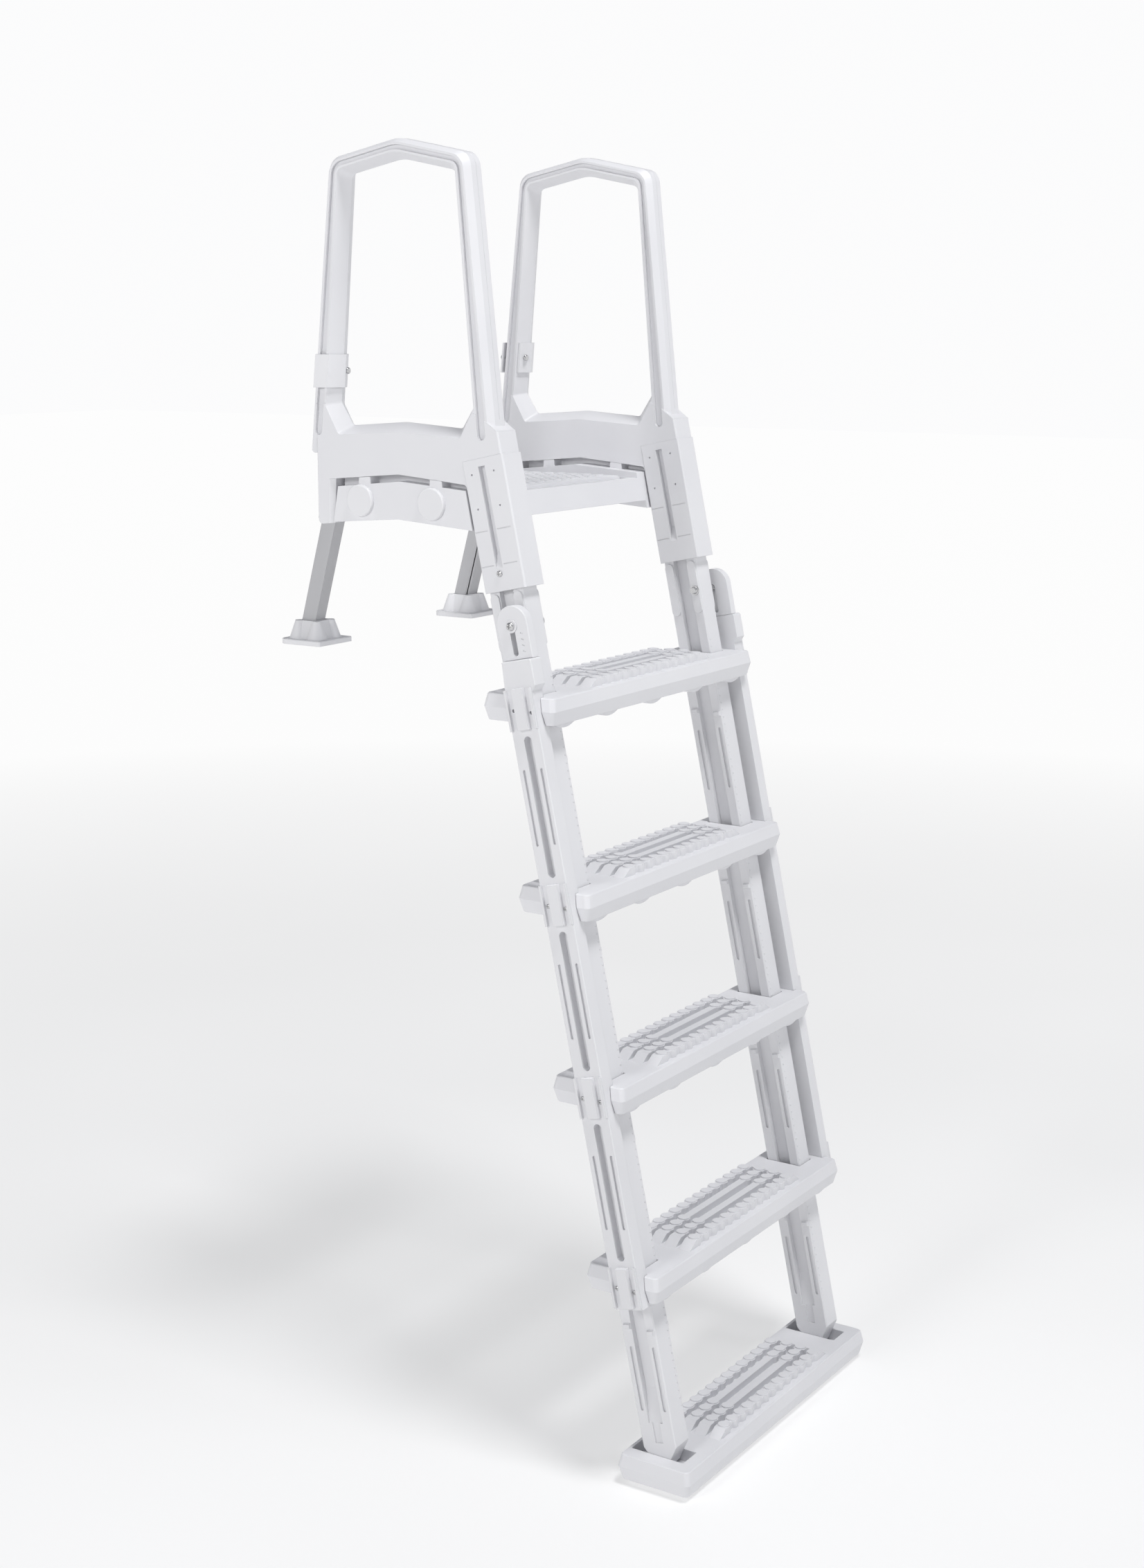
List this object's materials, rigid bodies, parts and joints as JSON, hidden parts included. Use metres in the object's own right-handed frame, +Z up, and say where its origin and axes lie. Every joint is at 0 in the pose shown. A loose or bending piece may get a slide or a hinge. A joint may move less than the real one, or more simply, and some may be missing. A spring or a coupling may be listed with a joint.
{
  "type": "pool ladder",
  "caption": "Deck-mounted in-pool ladder with raked studded treads on telescoping rails, a small platform, looped handrails and two flanged deck legs.",
  "frame": {"origin": "centre of the overall box in plan, at the underside of the bottom tread's pads", "axes": "+X to the right seen from the pool, -Y towards the pool, +Y towards the deck, +Z up"},
  "size_m": [0.6536, 0.8086, 2.0264],
  "materials": {
    "frame_plastic": "satin moulded",
    "tread_plastic": "satin moulded",
    "rail_plastic": "satin moulded",
    "trim_plastic": "satin moulded",
    "leg_plastic": "satin extruded",
    "flange_plastic": "satin moulded",
    "steel": "stainless"
  },
  "bodies": {
    "deck_legs": {"deck_leg_left": "leg_plastic", "deck_leg_right": "leg_plastic", "deck_flange_left": "flange_plastic", "deck_flange_right": "flange_plastic"},
    "frames": {"side_frame_left": "frame_plastic", "side_frame_right": "frame_plastic", "handrail_collar_left": "trim_plastic", "handrail_collar_right": "trim_plastic", "collar_bolt_left": "steel", "collar_bolt_right": "steel", "platform_caps_left": "trim_plastic", "platform_caps_right": "trim_plastic", "sleeve_screw_left": "steel", "sleeve_screw_right": "steel", "platform": "tread_plastic"},
    "rails": {"inner_rail_left": "rail_plastic", "inner_rail_right": "rail_plastic", "adjuster_screw_left": "steel", "adjuster_screw_right": "steel", "adjuster_washer_left": "trim_plastic", "adjuster_washer_right": "trim_plastic", "tread_1": "tread_plastic"},
    "steps": {"outer_rail_left": "rail_plastic", "outer_rail_right": "rail_plastic", "adjuster_link_left": "rail_plastic", "adjuster_link_right": "rail_plastic", "tread_screws_left": "steel", "tread_screws_right": "steel", "tread_2": "tread_plastic", "tread_3": "tread_plastic", "tread_4": "tread_plastic", "tread_5": "tread_plastic"}
  },
  "joints": [
    {"name": "deck_height", "type": "slide", "parent": "deck_legs", "child": "frames", "axis": [0, -0.2706, 0.9627], "range_m": [-0.03, 0.04]},
    {"name": "rail_extension", "type": "slide", "parent": "frames", "child": "rails", "axis": [0, -0.2082, -0.9781], "range_m": [0, 0.09]},
    {"name": "step_height", "type": "slide", "parent": "rails", "child": "steps", "axis": [0, 0.2082, 0.9781], "range_m": [0, 0.04]}
  ]
}
